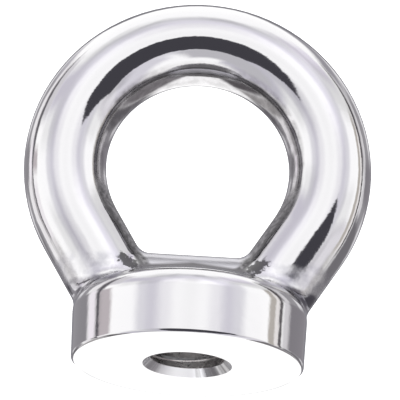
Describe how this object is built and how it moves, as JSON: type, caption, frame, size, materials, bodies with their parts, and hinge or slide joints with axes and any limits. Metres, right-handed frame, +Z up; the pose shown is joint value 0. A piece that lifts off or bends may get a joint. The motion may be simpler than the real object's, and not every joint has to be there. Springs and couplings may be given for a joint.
{
  "type": "lifting eye nut",
  "caption": "Lifting eye nut: a round-bar ring on a turned cylindrical boss with a blind threaded hole in its seat face, to screw onto a stud and take a hook or shackle.",
  "frame": {"origin": "centre of the thread's mouth, on the seat face that the nut stands on", "axes": "+Z up along the thread's axis and through the ring's middle; the ring lies in the XZ plane, so its axis runs along Y"},
  "size_m": [0.0498, 0.0334, 0.054],
  "materials": {
    "polished_steel": "mirror-polished stainless steel, with a machined thread"
  },
  "bodies": {
    "root": {"eye_nut": "polished_steel"}
  },
  "joints": []
}
